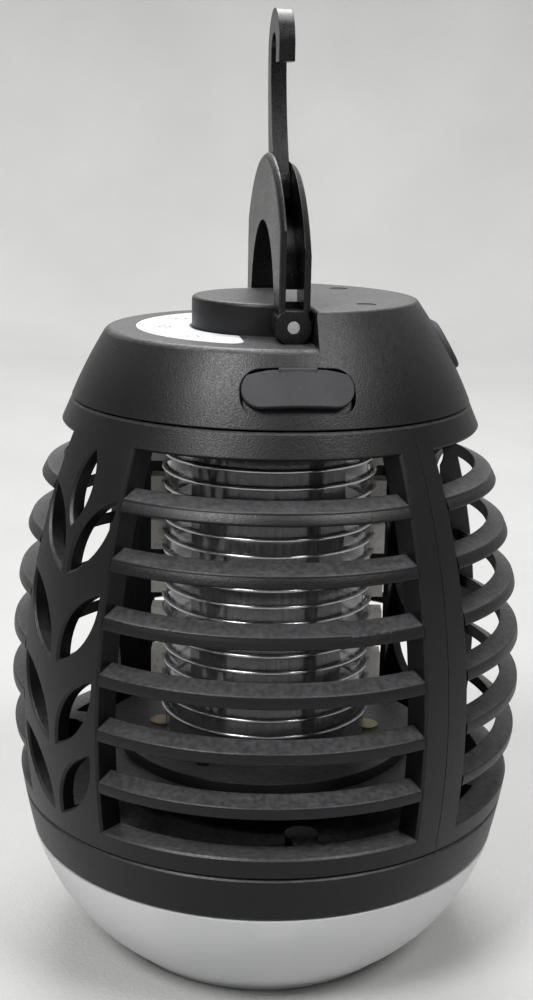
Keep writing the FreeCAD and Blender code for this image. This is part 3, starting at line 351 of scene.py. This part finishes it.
def make_finishes():
    """One material for each material slot of the record."""
    return {
        "housing_black": moulded_plastic("housing_black", (0.0042, 0.0043, 0.0049), 0.40, 0.045),
        "bail_black": moulded_plastic("bail_black", (0.0055, 0.0055, 0.0061), 0.30, 0.004, 0.15),
        "inner_black": moulded_plastic("inner_black", (0.016, 0.016, 0.017), 0.34, 0.012),
        "diffuser_white": milky_plastic(),
        "rubber_black": rubber("rubber_black", (0.055, 0.055, 0.058), 0.72),
        "sticker_white": paper_label(),
        "steel": metal("steel", (0.62, 0.62, 0.63), 0.32),
        "wire_steel": metal("wire_steel", (0.66, 0.66, 0.68), 0.20, (2.0, 2.0, 0.5)),
        "clear_plastic": clear_plastic("clear_plastic", (0.62, 0.60, 0.57), 0.12, 0.34),
        "smoke_clear": clear_plastic("smoke_clear", (0.50, 0.50, 0.51), 0.88, 0.06),
        "board_green": circuit_board(),
        "chip_black": moulded_plastic("chip_black", (0.012, 0.012, 0.013), 0.45, 0.01),
        "component_blue": moulded_plastic("component_blue", (0.03, 0.07, 0.20), 0.35, 0.006),
        "led_white": milky_led(),
        "battery_foil": metal("battery_foil", (0.55, 0.56, 0.58), 0.38, (0.4, 0.4, 0.4)),
        "brass": metal("brass", (0.40, 0.34, 0.22), 0.42),
        "seal_grey": rubber("seal_grey", (0.20, 0.20, 0.20), 0.7),
        "lead_sleeve": rubber("lead_sleeve", (0.42, 0.03, 0.03), 0.5),
    }


def milky_led():
    """White LED package with a yellow phosphor window."""
    made = Finish("led_white", roughness=0.4)
    window = made.spread(made.noise(0.8, 2), 0.45, 0.6)
    made.set(base_color=made.mix(window, (0.75, 0.74, 0.70), (0.75, 0.62, 0.22)))
    made.set(normal=made.bump(made.noise(3.0, 2), 0.01))
    return made.material


# ---- pieces ---------------------------------------------------------------------------------
TUBE_LOW = 41.5
TUBE_HIGH = 96.1
TUBE_INNER = 12.5
FLUTE_RADIUS = 13.45
FLUTE_DEEP = 0.22
FLUTE_COUNT = 40
FLUTE_STEPS = 8
LABEL_TOP = 111.88
MARK_THICK = 0.02
MARK_CENTRES = ((-18.6, -0.8), (-14.8, -13.1), (-15.0, 10.9))
MARK_RING = (1.15, 0.85)     # outer and inner radius
MARK_RING_STEPS = 20
MARK_STROKE_AT = 1.9         # from a mark's centre, on its first copy
MARK_STROKE_STEP = 0.25      # further on each next copy
MARK_STROKES = ((0.0, 0.9, 0.28), (0.8, 0.5, 0.22))    # further out, length, width


def fluted_tube(material):
    """The light tube as an extruded pipe with fine upright flutes outside."""
    made = bmesh.new()
    steps = FLUTE_COUNT * FLUTE_STEPS
    turns = [2 * math.pi * step / steps for step in range(steps)]
    flutes = [FLUTE_RADIUS + FLUTE_DEEP * abs(math.cos(turn * FLUTE_COUNT / 2)) for turn in turns]
    loops = []
    for radii, height in ((flutes, TUBE_LOW), (flutes, TUBE_HIGH),
                          ([TUBE_INNER] * steps, TUBE_HIGH), ([TUBE_INNER] * steps, TUBE_LOW)):
        points = [Vector((r * math.cos(t), r * math.sin(t), height)) * MM for r, t in zip(radii, turns)]
        loops.append([made.verts.new(point) for point in points])
    for lower, upper in zip(loops, loops[1:] + loops[:1]):
        for step in range(steps):
            after = (step + 1) % steps
            made.faces.new((lower[step], lower[after], upper[after], upper[step]))
    bmesh.ops.recalc_face_normals(made, faces=made.faces)
    mesh = bpy.data.meshes.new("light_tube_fluted")
    made.to_mesh(mesh)
    made.free()
    tube = add_object("light_tube_fluted", mesh, material)
    for polygon in mesh.polygons:
        polygon.use_smooth = abs(polygon.normal.z) < 0.5
    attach(tube, "head")
    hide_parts("light_tube")


def label_marks(material):
    """Three plain printed marks on the label: a ring with a bar, and short strokes."""
    made = bmesh.new()
    for index, (x, y) in enumerate(MARK_CENTRES):
        turn = math.atan2(y, x)
        add_ring(made, x, y, *MARK_RING)
        for side in (-1, 1):
            far = MARK_STROKE_AT + MARK_STROKE_STEP * index
            for further, long, wide in MARK_STROKES:
                add_stroke(made, x, y, turn + math.pi / 2, side * (far + further), long, wide)
    mesh = bpy.data.meshes.new("label_marks")
    made.to_mesh(mesh)
    made.free()
    marks = add_object("label_marks", mesh, material)
    mesh.shade_flat()
    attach(marks, "head")


def raise_outline(made, outline):
    """Stands a flat outline up into a thin closed plate on the label."""
    low, high = [[made.verts.new((x * MM, y * MM, z * MM)) for x, y in outline]
                 for z in (LABEL_TOP - 0.01, LABEL_TOP + MARK_THICK)]
    made.faces.new(high)
    made.faces.new(low[::-1])
    for step, corner in enumerate(low):
        after = (step + 1) % len(low)
        made.faces.new((corner, low[after], high[after], high[step]))


def add_stroke(made, x, y, turn, along, long, wide):
    """A short bar centred along a line through a point."""
    ahead = Vector((math.cos(turn), math.sin(turn)))
    across = Vector((-ahead.y, ahead.x))
    centre = Vector((x, y)) + ahead * along
    corners = [centre + across * (u * long / 2) + ahead * (v * wide / 2)
               for u, v in ((-1, 1), (-1, -1), (1, -1), (1, 1))]
    raise_outline(made, [(corner.x, corner.y) for corner in corners])


def add_ring(made, x, y, outer, inner):
    """A thin ring, as short straight plates."""
    for step in range(MARK_RING_STEPS):
        a, b = [2 * math.pi * (step + share) / MARK_RING_STEPS for share in (0, 1)]
        corners = [(x + r * math.cos(t), y + r * math.sin(t))
                   for r, t in ((inner, a), (outer, a), (outer, b), (inner, b))]
        raise_outline(made, corners)


def printed_ink():
    """Grey ink, a little broken up."""
    made = Finish("printed_ink", roughness=0.5)
    made.set(base_color=made.mix(made.noise(2.5, 3), (0.10, 0.10, 0.12), (0.22, 0.22, 0.25)))
    return made.material


# ---- put together ---------------------------------------------------------------------------
def dress_frame(finishes):
    """Gives every carried-over CAD node the material of its record slot."""
    for node in nodes.values():
        for slot in node.material_slots:
            slot.material = finishes[slot.material.name.split(".")[0]]


finishes = make_finishes()
dress_frame(finishes)
fluted_tube(silvery_tube())
label_marks(printed_ink())
make_stage(stage_cloth())
make_lights()
make_camera()
bpy.context.scene.view_settings.view_transform = "Standard"
bpy.context.scene.view_settings.look = "Medium High Contrast"
